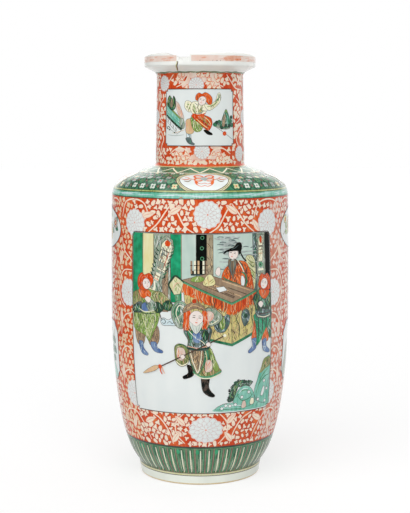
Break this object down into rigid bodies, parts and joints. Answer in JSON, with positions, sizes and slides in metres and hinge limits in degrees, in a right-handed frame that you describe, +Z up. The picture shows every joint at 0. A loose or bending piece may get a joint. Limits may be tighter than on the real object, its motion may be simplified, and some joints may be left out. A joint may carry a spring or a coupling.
{
  "type": "rouleau vase",
  "caption": "Tall glazed porcelain vase: tapering cylindrical body, sloped shoulder, straight neck and dished mouth with a broken lip; stands on a foot ring and holds flowers.",
  "frame": {"origin": "centre of the foot ring's resting circle, on the surface the vase stands on", "axes": "+Z up the axis the vase was turned on; -Y towards the viewer, the side with the broken lip and the main painted panel; +X to the viewer's right"},
  "size_m": [0.1906, 0.1906, 0.45],
  "materials": {
    "porcelain_glaze": "clear glossy glaze over white porcelain, faintly blue",
    "iron_red_ground": "thin iron-red overglaze enamel on white glaze",
    "green_enamel": "thick translucent copper-green overglaze enamel",
    "luting_slip": "fired porcelain slip, matt where it is bare"
  },
  "bodies": {
    "root": {"foot_ring": "porcelain_glaze", "foot_luting": "luting_slip", "base": "porcelain_glaze", "base_luting": "luting_slip", "lower_body": "iron_red_ground", "waist_luting": "luting_slip", "upper_body": "iron_red_ground", "shoulder_luting": "luting_slip", "shoulder": "green_enamel", "neck_luting": "luting_slip", "neck": "iron_red_ground", "mouth_luting": "luting_slip", "mouth": "porcelain_glaze"}
  },
  "joints": []
}
